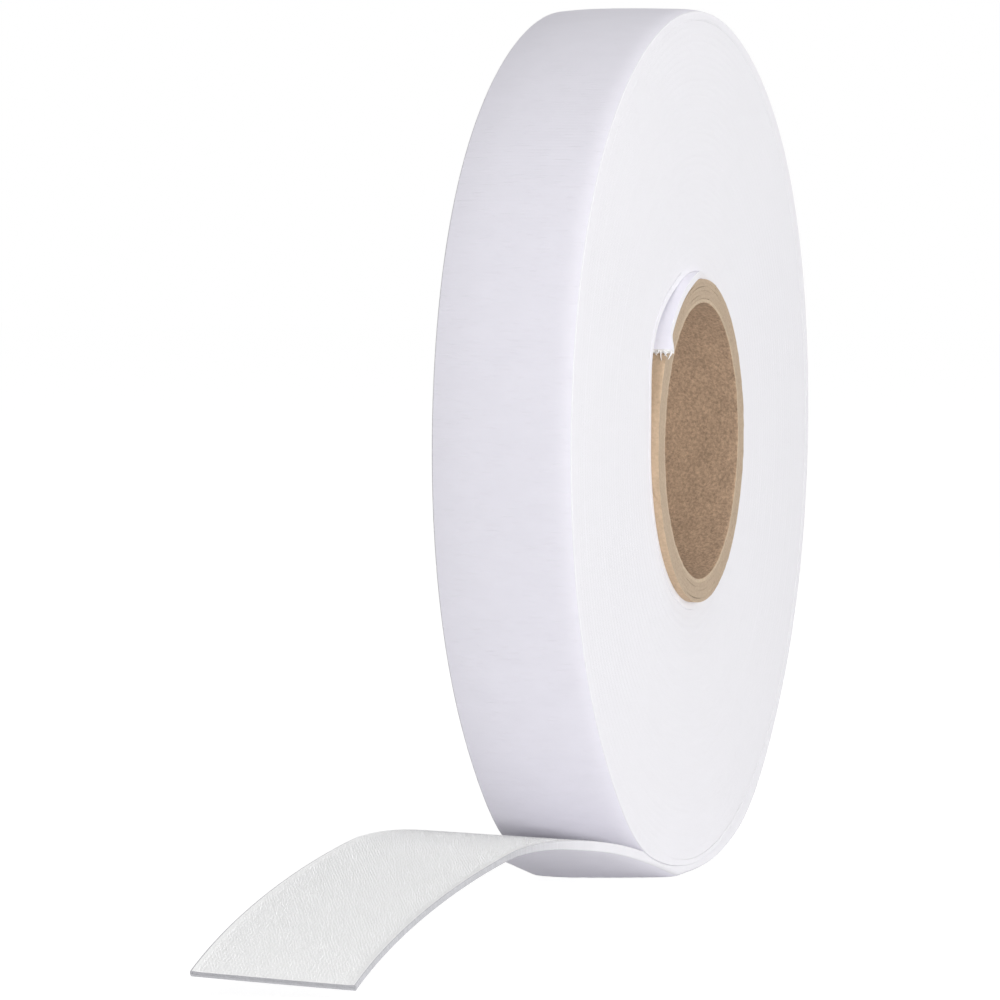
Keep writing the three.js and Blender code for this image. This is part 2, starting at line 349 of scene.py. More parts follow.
def lay_coordinates(tree):
    """The piece's own lay: metres along the tape, metres across it, and a number for its turn."""
    return add_node(tree, "ShaderNodeAttribute", attribute_name="lay").outputs["Vector"]


def own_place(tree):
    """Metres in the piece's own frame."""
    return add_node(tree, "ShaderNodeTexCoord").outputs["Object"]


def stretched(tree, place, scale):
    """A place times one scale for each axis: a small scale draws the pattern out along that axis."""
    return add_node(tree, "ShaderNodeMapping", {"Vector": place, "Scale": scale}).outputs["Vector"]


def noise(tree, place, size, detail=2.0, roughness=0.5):
    """Soft random flecks about as wide as the size, with finer ones on top."""
    return add_node(tree, "ShaderNodeTexNoise", {
        "Vector": place, "Scale": 1 / size, "Detail": detail, "Roughness": roughness}).outputs


def waves(tree, place, direction, repeat, distortion, detail, detail_scale=1.0):
    """Bands that repeat along one axis, made uneven by a distortion."""
    return add_node(tree, "ShaderNodeTexWave", {
        "Vector": place, "Scale": WAVE_REPEAT / repeat, "Distortion": distortion,
        "Detail": detail, "Detail Scale": detail_scale}, bands_direction=direction).outputs["Fac"]


def combine(tree, operation, *values):
    """One step of arithmetic on two or three values."""
    return add_node(tree, "ShaderNodeMath", dict(enumerate(values)), operation=operation).outputs[0]


def spread(tree, value, low, high):
    """A value drawn out until low is 0 and high is 1, and held there beyond."""
    return add_node(tree, "ShaderNodeMapRange", {
        "Value": value, "From Min": low, "From Max": high}).outputs["Result"]


def mix_colours(tree, factor, first, second):
    """A colour that runs from the first to the second as a factor runs from 0 to 1."""
    return add_node(tree, "ShaderNodeMix", {"Factor": factor, "A": first, "B": second},
                    data_type="RGBA").outputs["Result"]


def tone(tree, base, factor, low, high):
    """A colour that runs from low to high times the base as a factor runs from 0 to 1."""
    stops = [tuple(min(1.0, c * k) for c in base[:3]) + (1.0,) for k in (low, high)]
    return mix_colours(tree, factor, *stops)


def dress(tree, shader, shade, height=None, depth=0.0):
    """Gives a shader its colour, and relief of a depth in metres where there is a height."""
    tree.links.new(shade, shader.inputs["Base Color"])
    if height is not None:
        bump = add_node(tree, "ShaderNodeBump", {"Height": height, "Strength": 1.0, "Distance": depth})
        tree.links.new(bump.outputs["Normal"], shader.inputs["Normal"])


@cached
def woven_nylon_back(name, colours):
    """Close-woven nylon, heat-set and smooth: a soft sheen, faint weft lines and a few raised floats."""
    weft_repeat, weft_weight = 1.1 * MM, 0.3  # real weft lies about 0.4 mm apart, too fine to show
    float_size, float_length = 0.9 * MM, 6  # along the tape, and times that across it
    float_low, float_high = 0.62, 0.7  # the few flecks over this level stand up as floats
    patch_size = 9 * MM
    finish, tree, shader = new_finish(
        name, roughness=0.72, ior=NYLON_IOR, sheen_weight=0.08, sheen_roughness=0.5)
    lay = lay_coordinates(tree)
    weft = waves(tree, lay, "X", weft_repeat, distortion=1.2, detail=2.0, detail_scale=0.6)
    threads = noise(tree, stretched(tree, lay, (1.0, 1 / float_length, 1.0)), float_size, 1.0)["Fac"]
    floats = spread(tree, threads, float_low, float_high)
    height = combine(tree, "MULTIPLY_ADD", weft, weft_weight, floats)
    shade = tone(tree, colours.back, noise(tree, lay, patch_size, 3.0)["Fac"], 0.975, 1.025)
    dress(tree, shader, shade, height, 0.04 * MM)
    return finish


@cached
def nylon_selvage(name, colours):
    """Edges of the woven tape: soft matt white yarns along it; on the loose free end, grey flecks of painted
    shade.
    """
    yarn_size, yarn_stretch = 1.4 * MM, 0.35  # a yarn is about 0.3 mm thick, drawn coarser to show
    fleck_size = 0.6 * MM
    painted_shade_from, painted_shade_to = 90 * MM, 165 * MM  # reach over which painted shade turns the free end's edge greyer
    finish, tree, shader = new_finish(
        name, roughness=0.85, ior=NYLON_IOR, sheen_weight=0.1, sheen_roughness=0.5)
    lay = lay_coordinates(tree)
    yarns = noise(tree, stretched(tree, lay, (yarn_stretch, 1.0, 1.0)), yarn_size, 4.0, 0.6)["Fac"]
    pressed = tone(tree, colours.edge, yarns, 0.97, 1.03)
    # Painted shade: grey flecked colour on the free end's edges, where they lie in shade
    loose = tone(tree, colours.cut, noise(tree, lay, fleck_size)["Fac"], 0.72, 1.2)
    reach = add_node(tree, "ShaderNodeSeparateXYZ", {"Vector": lay}).outputs["X"]
    shade = mix_colours(tree, spread(tree, reach, painted_shade_from, painted_shade_to), pressed, loose)
    dress(tree, shader, shade, yarns, 0.03 * MM)
    return finish


@cached
def hooked_ground(name, colours):
    """Woven ground between the hooks: matt white with a plain weave of weft ribs and warp yarns."""
    yarn_repeat = 0.9 * MM
    finish, tree, shader = new_finish(
        name, roughness=0.8, ior=NYLON_IOR, sheen_weight=0.15, sheen_roughness=0.5)
    lay = lay_coordinates(tree)
    weave = combine(tree, "MULTIPLY", *(waves(tree, lay, axis, yarn_repeat, 1.0, 1.0) for axis in "XY"))
    dress(tree, shader, tone(tree, colours.ground, weave, 0.97, 1.02), weave, 0.05 * MM)
    return finish


@cached
def cut_nylon_yarn(name, colours):
    """Cut and heat-sealed yarn ends, greyer than the weave with painted shade, speckled darker as painted
    shade in the gaps between yarns.
    """
    yarn_size = 0.5 * MM
    finish, tree, shader = new_finish(name, roughness=0.9, ior=NYLON_IOR)
    yarns = noise(tree, own_place(tree), yarn_size, roughness=0.6)["Fac"]
    # Painted shade: the grey, with a darker speckle where the gaps between yarns would lie in shade
    dress(tree, shader, tone(tree, colours.cut, yarns, 0.8, 1.2))
    return finish


@cached
def drawn_nylon_wire(name, colours):
    """Drawn nylon monofilament: milky white with a soft gloss, a little uneven from hook to hook."""
    patch_size = 2.5 * MM
    finish, tree, shader = new_finish(name, roughness=0.5, ior=NYLON_IOR)
    patches = noise(tree, own_place(tree), patch_size)["Fac"]
    dress(tree, shader, tone(tree, colours.hook, patches, 0.95, 1.04))
    return finish


def paper(name, base, fibre_size, contrast, relief, roughness=0.95):
    """Matt paper: fibres of several sizes as light and dark flecks, with the same fibres as relief.

    A coarser noise bends the fibres, and still wider clouds lie faintly over them.
    """
    bend_size, cloud_size, cloud_weight = fibre_size / 0.3, fibre_size / 0.12, 0.18
    darkest, palest = 0.4, 0.78
    finish, tree, shader = new_finish(name, roughness=roughness, ior=PAPER_IOR)
    place = own_place(tree)
    bends = noise(tree, place, bend_size)["Color"]
    bent = add_node(tree, "ShaderNodeVectorMath", {0: bends, 1: (fibre_size,) * 3, 2: place},
                    operation="MULTIPLY_ADD").outputs["Vector"]
    fibres = noise(tree, bent, fibre_size, 6.0, 0.72)["Fac"]
    clouds = noise(tree, place, cloud_size)["Fac"]
    flecks = spread(tree, combine(tree, "MULTIPLY_ADD", clouds, cloud_weight, fibres), darkest, palest)
    dress(tree, shader, tone(tree, base, flecks, 1 - contrast, 1 + contrast), fibres, relief)
    return finish


@cached
def brown_kraft_liner(name, colours):
    """Unbleached kraft, wound as the innermost ply: matt brown, mottled with coarse fibres."""
    return paper(name, colours.liner, 0.8 * MM, 0.44, 0.2 * MM)


@cached
def sawn_board(name, colours):
    """Grey-brown board sawn across its plies: pale, dusty and fuzzy."""
    return paper(name, colours.board, 0.8 * MM, 0.14, 0.12 * MM)


@cached
def torn_kraft_edge(name, colours):
    """Sawn edge of the innermost ply, torn up by the saw: a thin line paler than the board, partly its own
    paper and partly a painted highlight along the bore's rim.
    """
    return paper(name, colours.torn, 0.7 * MM, 0.18, 0.12 * MM)


@cached
def pale_kraft_outside(name, colours):
    """Kraft on the core's outside: pale yellowish brown and smoother than the liner."""
    return paper(name, colours.outside, 1.0 * MM, 0.16, 0.08 * MM, 0.9)


# Paper core

SETTLED_RADIUS = 2.3 * CORE_RADIUS  # from here outwards the turns keep their place


def settled(points, core, shift=0.0):
    """Points of the roll under the tape's pull: oval and shifted along Y at the core, less outwards."""
    points = np.array(points, float)
    radius = np.hypot(points[..., 0], points[..., 2] - AXIS_HEIGHT)
    near_core = 1 - smoothstep(CORE_RADIUS, SETTLED_RADIUS, radius)
    points[..., 0] *= 1 - core.squash * near_core
    points[..., 1] += shift * near_core
    return points


SEAM_OFFSETS = np.array([0.0, 0.25, 0.5, 0.8, 1.3]) * MM  # columns of points beside a seam
END_STEPS = 4  # points across a ply's end face
PLY_GAP = 0.01 * MM
PLY_SWELL = 0.05 * MM  # unevenness of a ply's walls
SAW_STEP = 0.6 * MM  # one wave of the sawn ends, along the radius
SWELL_SEED, END_SEED, SAW_SEED = 40, 60, 80
PLY_WALL, PLY_END, PLY_OUTSIDE = range(3)


def helix_columns(radius, count):
    """Angles round a ply, even but closer beside the seam at angle 0."""
    near = np.concatenate([-SEAM_OFFSETS[:0:-1], SEAM_OFFSETS]) / radius
    even = np.linspace(near[-1], TURN + near[0], count)[1:-1]
    return np.concatenate([near, even])


def ply_section(inner, outer, core_length, wall_steps):
    """A ply's section as a closed loop of (radius, along the axis, whether it is on an end face).

    The loop runs out along the inside wall, over the rear end, back along the outside wall and over the
    front end. Its corners are chamfered by a fourteenth of the ply.
    """
    chamfer = (outer - inner) / 14
    half = core_length / 2
    wall = np.linspace(-half + chamfer, half - chamfer, wall_steps)
    face = np.linspace(inner + chamfer, outer - chamfer, END_STEPS)
    radius = np.concatenate([np.full(wall_steps, inner), face, np.full(wall_steps, outer), face[::-1]])
    along = np.concatenate([wall, np.full(END_STEPS, half), wall[::-1], np.full(END_STEPS, -half)])
    on_end = np.repeat([0, 1, 0, 1], [wall_steps, END_STEPS] * 2)
    return radius, along, on_end


def core_ply(index, inner, outer, core, finishes):
    """One paper ply: its section carried round the axis on columns that follow the seam's helix.

    At an angle t from the seam and a distance y along the axis the point lies at polar angle
    start + t + 360 y / lead. The seam is a groove in both walls, and the ends are a little uneven.
    """
    visible = index in (0, len(PLY_NODES) - 1)
    round_steps, wall_steps = (220, 44) if visible else (120, 14)
    columns = helix_columns(inner, round_steps)
    radius, along, on_end = ply_section(inner, outer, core.length, wall_steps)
    turn = columns[:, None] + TURN * (index / len(PLY_NODES) + along[None, :] / core.seam_lead)
    beside = np.abs((columns[:, None] + math.pi) % TURN - math.pi) * inner
    groove = core.seam_depth * np.exp(-(beside / core.seam_width) ** 2)
    outer_half = radius > (inner + outer) / 2
    outward = np.where(outer_half, 1, -1)[None, :]
    swell = wander(turn / TURN, SWELL_SEED + index, (3, 7, 12), PLY_SWELL)
    r = radius[None, :] - (1 - on_end[None, :]) * outward * groove + swell
    rough = wander(turn / TURN, END_SEED + index, (5, 17, 41, 67), core.end_rough)
    rough = rough + wander(radius[None, :] / SAW_STEP, SAW_SEED + index, (1, 2.3), 0.3 * core.end_rough)
    y = along[None, :] + on_end[None, :] * np.sign(along)[None, :] * (rough - 0.5 * core.end_rough)
    points = np.stack([r * np.sin(turn), y, AXIS_HEIGHT + r * np.cos(turn)], axis=-1)
    faces = grid_quads(len(columns), len(radius), closed_rows=True, closed_columns=True)
    both_ends = on_end & np.roll(on_end, -1)
    outside = outer_half & (on_end == 0)
    kind = np.where(both_ends, PLY_END, np.where(outside, PLY_OUTSIDE, PLY_WALL))
    return add_piece(f"ply_{index + 1}", settled(points, core, -core.push), faces, finishes,
                     np.tile(kind, len(columns)))


# Wound tape

def drop_at(across, tape):
    """How far the back falls away across the tape: one wide parabola, and a short one over each shoulder."""
    half = tape.width / 2
    front = np.clip(1 - (half + across) / tape.front_shoulder, 0, 1)
    rear = np.clip(1 - (half - across) / tape.rear_shoulder, 0, 1)
    return tape.front_drop * front ** 2 + tape.rear_drop * rear ** 2 + tape.crown * (across / half) ** 2


def start_line(start, tape, steps):
    """The first turn's line in the XZ plane, as points, outward directions and distances along it.

    It goes clockwise round the core from the cut end, leaves it straight, and bends over that end to land
    on the first turn.
    """
    radius = CORE_RADIUS + start.seat
    leave, land = start.start_angle + start.step_span, start.landing_angle
    polar = np.linspace(start.start_angle, leave - TURN, steps)
    arc = radius * np.stack([np.cos(polar), np.sin(polar)], axis=-1)
    heading, landing_heading = (np.array([math.sin(at), -math.cos(at)]) for at in (leave, land))
    landing = (radius + tape.pitch) * np.array([math.cos(land), math.sin(land)])
    top = arc[-1] + start.step_rise * heading
    corners = (top, top + start.step_shoulder * heading,
               landing - start.step_shoulder * landing_heading, landing)
    rough = np.concatenate([arc, np.linspace(arc[-1], top, steps // 6)[1:], bezier(corners, steps // 3)[1:]])
    travelled = np.concatenate([[0], np.cumsum(np.linalg.norm(np.diff(rough, axis=0), axis=1))])
    even = np.linspace(0, travelled[-1], steps)
    line = np.stack([np.interp(even, travelled, rough[:, k]) for k in (0, 1)], axis=-1)
    tangent = unit(np.gradient(line, axis=0))
    return line, np.stack([-tangent[:, 1], tangent[:, 0]], axis=-1), even


START_STEPS = 300  # points along the first turn's line
ARC_STEPS = 6  # points over one rounded edge of a strip, the first of them on the flat beside it
ARC_LEAD = 1.05  # how many radii down the edge that first point lies
ROUND_SHARES = (0.7, 0.25)  # largest rounds of the back's and the hooked face's edges, by the thickness
BACK, HOOKED, EDGE, CUT = range(4)  # what a strip's face can be
FLOOR_CLEARANCE = 0.02 * MM

# Middle, from the top, and breadth in degrees of the outermost turn's bulges
UPPER_BULGE = (55, 25)
LOWER_BULGE = (153, 13)

# Reaches between which the free end thins out, loses its crown, and leaves the turn above it
THINNING = (90 * MM, 190 * MM)
FLATTENING = (60 * MM, 120 * MM)
PARTING = (20 * MM, 45 * MM)


def strip_section(half_width, thickness, edge_round, face_round, across_steps):
    """Loop round a strip's section, for each thickness: distance across it and depth from its back face.

    The first half runs across the back face from edge to edge and the second half comes back over the
    hooked face, so that point i lies under point m - 1 - i. The edges are quarter rounds, whose radii may be
    one number or a column of numbers.
    """
    bend = np.linspace(0, math.pi / 2, ARC_STEPS - 1, endpoint=False)
    rise = np.concatenate([[ARC_LEAD], 1 - np.sin(bend)])
    run = np.concatenate([[1.0], np.cos(bend)])
    flat = np.sin(np.linspace(-math.pi / 2, math.pi / 2, across_steps))
    lean = np.concatenate([-np.ones(ARC_STEPS), flat, np.ones(ARC_STEPS)])
    corner = np.concatenate([-run, np.zeros(across_steps), run[::-1]])
    lift = np.concatenate([rise, np.zeros(across_steps), rise[::-1]])
    thickness = np.asarray(thickness)[:, None]
    halves = []
    for largest, most in zip((edge_round, face_round), ROUND_SHARES):
        radius = np.minimum(largest, most * thickness)
        halves.append((lean * (half_width - radius) + corner * radius, lift * radius))
    (across, depth), (across_back, depth_back) = halves
    loop = np.concatenate([across, across_back[:, ::-1]], axis=1)
    return loop, np.concatenate([depth, (thickness - depth_back)[:, ::-1]], axis=1)


def strip_faces(rows, across_steps):
    """Quads of a lofted strip with two end caps, and what each one is: back, hooked face, edge or cut."""
    half = across_steps + 2 * ARC_STEPS
    loop = 2 * half
    sides = grid_quads(rows, loop, closed_columns=True)
    i = np.arange(half - 1)
    cap = np.stack([i, loop - 1 - i, loop - 2 - i, i + 1], axis=-1)
    faces = np.concatenate([sides, cap, cap[:, ::-1] + (rows - 1) * loop])
    column = np.arange(loop)
    on_flat = (column % half >= ARC_STEPS) & (column % half < ARC_STEPS + across_steps - 1)
    kind = np.where(~on_flat, EDGE, np.where(column < half, BACK, HOOKED))
    return faces, np.concatenate([np.tile(kind, rows - 1), np.full(2 * len(cap), CUT)])


def slack(turn, tape):
    """How far the loose outermost turn stands off the one below: bell curves high and low on both sides."""
    from_top = np.degrees(np.abs(TURN * turn - math.pi))
    upper, lower = (np.exp(-((from_top - middle) / breadth) ** 2)
                    for middle, breadth in (UPPER_BULGE, LOWER_BULGE))
    return np.where(turn < 1, tape.upper_slack * upper + tape.lower_slack * lower, 0)


def spiral_back(turn, across, tape):
    """Back face of the outer turns: radius = outermost - pitch * turn + slack.

    turn counts from the roll's lowest line towards +X. Gives points and the direction to the hooked face.
    """
    radius = tape.roll_radius - tape.pitch * turn + slack(turn, tape)
    zero = np.zeros_like(across)
    sine, cosine = np.sin(TURN * turn), np.cos(TURN * turn)
    points = np.stack([zero + radius * sine, across, zero + AXIS_HEIGHT - radius * cosine], axis=-1)
    inward = np.stack([zero - sine, zero, zero + cosine], axis=-1)
    return points, inward


def hump(reach, tail):
    """Height of the free end's underside over the roll's lowest line: two cubic curves over the crest."""
    steps = 200
    crest, tip = (tail.crest_reach, tail.crest_height), (tail.tip_reach, tail.tip_height)
    drop = tail.tip_run * tail.tip_slope
    rise = bezier(((tail.hump_start, 0), (tail.hump_start + tail.hump_run_up, 0),
                   (tail.crest_reach - tail.crest_run_in, tail.crest_height), crest), steps)
    fall = bezier((crest, (tail.crest_reach + tail.crest_run_out, tail.crest_height),
                   (tail.tip_reach - tail.tip_run, tail.tip_height + drop), tip), steps)
    beyond = (tail.tip_reach + tail.tip_run, tail.tip_height - drop)
    line = np.concatenate([[(0, 0)], rise, fall[1:], [beyond]])
    return np.interp(reach, line[:, 0], line[:, 1])


def tail_back(reach, across, tape, tail):
    """Underside of the free end at a reach and a distance across, and the direction to its hooked face.

    The crest lies askew, so the hump is read a little further on at one edge, and leans up at the other,
    whose corner turns up a little more at the tip.
    """
    side = across / (tape.width / 2)
    rest = tape.roll_radius - AXIS_HEIGHT

    def height(at):
        lean = 1 + side * tail.crest_lean / tail.crest_height
        twist = tail.tip_twist * (1 + side) / 2 * smoothstep(tail.crest_reach, tail.tip_reach, at)
        return hump(at - side * tail.crest_skew, tail) * lean - rest + twist

    span = 4 * MM  # the slope is taken over twice this
    slope = (height(reach + span) - height(reach - span)) / (2 * span)
    points = np.stack([-reach, across, height(reach)], axis=-1)
    return points, unit(np.stack([slope, np.zeros_like(slope), np.ones_like(slope)], axis=-1))


def tail_end(across, tape, tail):
    """Reach of the slightly oblique cut end."""
    return tail.tail_reach + tail.tip_skew * across / (tape.width / 2)


def tail_thickness(reach, tape):
    """Thickness of the free end: swollen near the roll, where it is bent, and thin beyond its crest."""
    return tape.thickness + (tape.loose_thickness - tape.thickness) * smoothstep(*THINNING, reach)


def held_crown(reach):
    """Share of the wound tape's crown that the free end still has: all near the roll, none further out."""
    return 1 - smoothstep(*FLATTENING, reach)


def nip_fill(reach, thickness, tape, tail):
    """Change of thickness where the free end leaves the roll and its hooked face clings to the turn above.

    The tape is pressed thinner under the roll's circle, and fills the first of the wedge that opens beyond.
    """
    near = reach < tail.crest_reach / 2
    turn = 1 - np.where(near, reach, 0) / (TURN * tape.roll_radius)
    radius = tape.roll_radius - tape.pitch * turn + slack(turn, tape)
    above = AXIS_HEIGHT - radius * np.cos(TURN * turn)
    across = np.full(len(reach), -tape.width / 2)
    below = tail_back(reach, across, tape, tail)[0][:, 2]
    wedge = above - below - thickness - tape.running_gap
    return near * np.where(wedge < 0, wedge, wedge * (1 - smoothstep(*PARTING, reach)))


def tape_strip(tape, tail, finishes):
    """The outer turns and the free end as one strip: a section carried down the spiral and along the hump.

    Its inner end thins out against the running gap, and the hooked ground of the free end lies lower than
    the selvages.
    """
    across_steps, inner_steps, outer_steps, free_steps = 31, 110, 380, 230
    outer_turns = 1.05  # turns that have the finer steps
    end_margin = 0.05  # turns left off where the strip runs out
    covering = (0.94, 1.0)  # turns over which the next layer comes to lie on the strip
    opening = 0.2  # share of the free end over which its section opens
    nip_haste = 3  # the nip's rounding fades so many times faster round the roll than along the tape
    ground_from, ground_to = 0.8 * tape.selvage, 1.5 * tape.selvage
    last_turn = (tape.roll_radius - tape.running_radius) / tape.pitch - end_margin
    turns = np.concatenate([np.linspace(last_turn, outer_turns, inner_steps),
                            np.linspace(outer_turns, 0, outer_steps)[1:]])
    lengths = np.linspace(0, 1, free_steps)[1:]
    coiled = len(turns)
    full = tape.pitch - tape.running_gap
    wound = np.minimum(full, tape.roll_radius - tape.pitch * turns - tape.running_radius)
    wound = wound + slack(turns, tape)
    opened = smoothstep(0, opening, lengths)
    middle = lengths * tail.tail_reach
    free = full + (tail_thickness(middle, tape) - full) * opened
    thickness = np.concatenate([wound, free + nip_fill(middle, free, tape, tail)])
    turn_number = np.concatenate([turns, np.zeros(len(lengths))])[:, None]
    covered = smoothstep(*covering, turn_number)
    loose = np.concatenate([np.zeros(coiled), opened])[:, None]
    from_nip = np.concatenate([nip_haste * turns * TURN * tape.roll_radius, middle])[:, None]
    edge_round = tape.edge_round + (tape.wound_round - tape.edge_round) * covered
    edge_round = edge_round + (tape.face_round - edge_round) * loose
    edge_round = edge_round + (tape.nip_round - edge_round) * np.exp(-(from_nip / tape.nip_span) ** 2)
    face_round = tape.wound_round + (tape.face_round - tape.wound_round) * loose
    across, depth = strip_section(tape.width / 2, thickness, edge_round, face_round, across_steps)
    half = across.shape[1] // 2
    ground = smoothstep(ground_from, ground_to, tape.width / 2 - np.abs(across[coiled:, half:]))
    depth += drop_at(across, tape) * np.concatenate([np.ones(coiled), held_crown(middle)])[:, None]
    depth[coiled:, half:] -= tape.ground_recess * ground * opened[:, None]
    points, towards = spiral_back(turns[:, None], across[:coiled], tape)
    reach = lengths[:, None] * tail_end(across[coiled:], tape, tail)
    laid, upward = tail_back(reach, across[coiled:], tape, tail)
    points = np.concatenate([points, laid]) + np.concatenate([towards, upward]) * depth[..., None]
    points[..., 2] = np.maximum(points[..., 2], FLOOR_CLEARANCE)
    along = np.concatenate([-turns[:, None] * TURN * tape.roll_radius + 0 * across[:coiled], reach])
    lay = np.stack([along, across, turn_number + 0 * across], axis=-1)
    faces, kind = strip_faces(len(thickness), across_steps)
    return add_piece("tape_strip", points, faces[:, ::-1], finishes, kind, lay=lay)


def start_turn(start, tape, core, finishes):
    """The first turn: a section carried along the start line, standing out of the roll's side at its cut."""
    across_steps = 21
    play = 0.07 * MM  # room left under the second turn
    line, outward, along = start_line(start, tape, START_STEPS)
    thickness = np.full(START_STEPS, tape.pitch - start.seat - play)
    pressed = tape.wound_round
    across, depth = strip_section(tape.width / 2, thickness, pressed, pressed, across_steps)
    depth = thickness[:, None] - depth
    turned = along / (CORE_RADIUS + start.seat)
    fade = smoothstep(start.overhang_held, start.overhang_held + start.overhang_fade, turned)
    flared = 1 - smoothstep(0, start.flare_span, turned)
    shift = start.overhang * (1 - fade) + start.flare * flared
    radial = line[:, None, :] + outward[:, None, :] * depth[..., None]
    points = np.stack([radial[..., 0], across - shift[:, None], AXIS_HEIGHT + radial[..., 1]], axis=-1)
    lay = np.stack([-along[:, None] + 0 * across, across, 0 * across], axis=-1)
    faces, kind = strip_faces(START_STEPS, across_steps)
    sunk = core.dish * fade[:, None]
    return add_piece("start_turn", settled(points, core, sunk), faces[:, ::-1], finishes, kind, lay=lay)


TURN_SHARES = np.array([0.0, 0.14, 0.38, 0.62, 0.86])  # where rows of points lie across one turn's edge
ROWS_A_TURN = len(TURN_SHARES)


def wound_turns(start, tape, core, finishes):
    """The turns between the start and the outer strip: a ring whose two sides show the spiral of edges.

    Rows of points follow the spiral. The radius grows by one pitch a turn from the first turn's outside,
    whose step fades out over the next turns. Each edge is a rounded ridge and wanders a little along Y.
    """
    columns, line_steps = 240, 1500
    inset = 0.06 * MM  # how far inside the second turn's line the ring begins
    fading = 12  # turns over which the first turn's step fades out
    row_squeeze = 0.004 * MM  # keeps rows apart that are pressed against the running gap
    side_inset, ridge, unevenness = 0.05 * MM, 0.04 * MM, 0.02 * MM
    seeds, waves_a_turn = (7, 8), (0.31, 0.83, 1.7, 3.1)
    half_width = tape.width / 2
    line, outward, _ = start_line(start, tape, line_steps)
    wall = line + outward * (tape.pitch - inset)
    polar = np.unwrap(np.arctan2(wall[:, 1], wall[:, 0]))
    begin = start.landing_angle
    sweep = np.linspace(0, 1, columns + 1)
    inner = np.interp(begin - TURN * sweep, polar[::-1], np.linalg.norm(wall, axis=1)[::-1])
    first = np.linalg.norm(wall[0])
    front_drop, rear_drop = (drop_at(side * half_width, tape) for side in (-1, 1))
    outermost = tape.running_radius - tape.running_gap - front_drop
    lowest_line = (begin + math.pi / 2) / TURN
    aim = tape.roll_radius - tape.pitch - front_drop
    whole_turns = round((aim - first) / tape.pitch - lowest_line)
    pitch = (aim - first) / (whole_turns + lowest_line)
    layers = math.ceil((outermost - first) / pitch)
    row = (np.arange(layers)[:, None] + TURN_SHARES).ravel()
    wound = row[None, :] + sweep[:, None]
    step = inner[:, None] - first - pitch * sweep[:, None]
    radius = first + pitch * wound + (1 - smoothstep(0, fading, wound)) * step
    squeeze = row_squeeze * np.arange(len(row))[::-1]
    radii = [np.minimum(radius, outermost + front_drop - drop - squeeze) for drop in (front_drop, rear_drop)]
    share_across = np.abs(2 * (row % 1) - 1)[None, :]
    turn_of_row = np.floor(row)[None, :] + sweep[:, None]
    fronts = []
    for seed in seeds:
        own, below = (wander(turn_of_row - back, seed, waves_a_turn, unevenness) for back in (0, 1))
        offset = np.where(row[None, :] % 1 == 0, np.minimum(own, below), own)
        fronts.append(half_width - side_inset + offset - ridge * share_across ** 5)
    angle_at = begin - TURN * sweep[:, None]
    sides = [np.stack([own * np.cos(angle_at), front, AXIS_HEIGHT + own * np.sin(angle_at)], axis=-1)
             for own, front in zip(radii, (-fronts[0], fronts[1]))]
    rows = len(row)
    # The last column is the first one again, a turn further out
    number = np.arange((columns + 1) * rows).reshape(columns + 1, rows)
    number[columns] = np.minimum(np.arange(rows) + ROWS_A_TURN, rows - 1)
    quads = number.ravel()[grid_quads(columns + 1, rows)]
    back_start = columns * rows
    inner_edge, outer_edge, ledge = number[:, 0], number[:, -1], number[0, :ROWS_A_TURN + 1]

    def across_ring(edge):
        return np.stack([edge[:-1], edge[1:], edge[1:] + back_start, edge[:-1] + back_start], axis=-1)

    faces = np.concatenate([
        quads, quads[:, ::-1] + back_start,
        across_ring(inner_edge), across_ring(outer_edge)[:, ::-1], across_ring(ledge)[:, ::-1]])
    triangles = np.concatenate([faces[:, [0, 1, 2]], faces[:, [0, 2, 3]]])
    distinct = (triangles != np.roll(triangles, 1, axis=1)).all(axis=1)
    along = -TURN * wound[:columns] * radius[:columns]
    points = settled(np.stack(sides)[:, :columns], core, core.dish)
    lay = np.stack([np.stack([along, radius[:columns], 0 * along + side], axis=-1) for side in (0, 1)])
    return add_piece("wound_turns", points, triangles[distinct][:, ::-1], finishes, lay=lay)


# Hooks and loose threads

HOOK_SEED, START_SEED, TIP_SEED = 21, 31, 32
YARN_ROOT = 0.2 * MM  # how deep a cut yarn is set in the tape


def tube_shape(path, radius, sides, taper):
    """A thin closed tube along points in a plane, as points (along, across, up) and triangles.

    It narrows by a taper from its foot to its tip.
    """
    path = np.asarray(path, float)
    tangent = unit(np.gradient(path, axis=0))
    normal = np.stack([-tangent[:, 1], tangent[:, 0]], axis=-1)
    turn = np.linspace(0, TURN, sides, endpoint=False)
    width = radius * np.linspace(1, taper, len(path))[:, None]
    in_plane = path[:, None, :] + (width * np.cos(turn))[..., None] * normal[:, None, :]
    points = np.stack([in_plane[..., 0], width * np.sin(turn), in_plane[..., 1]], axis=-1)
    quads = grid_quads(len(path), sides, closed_columns=True)
    second = np.arange(1, sides - 1)
    cap = np.stack([0 * second, second, second + 1], axis=-1)
    tip = cap + (len(path) - 1) * sides
    triangles = np.concatenate([quads[:, [2, 1, 0]], quads[:, [3, 2, 0]], cap, tip[:, ::-1]])
    return points.reshape(-1, 3), triangles


def copies(shape, origins, along, across, up):
    """Copies of a small shape, each set on its own origin and its own three directions."""
    points, faces = shape
    placed = origins[:, None, :] + points[None, :, 0, None] * along[:, None, :] \
        + points[None, :, 1, None] * across[:, None, :] + points[None, :, 2, None] * up[:, None, :]
    numbered = faces[None] + len(points) * np.arange(len(origins))[:, None, None]
    return placed.reshape(-1, 3), numbered.reshape(-1, faces.shape[1])


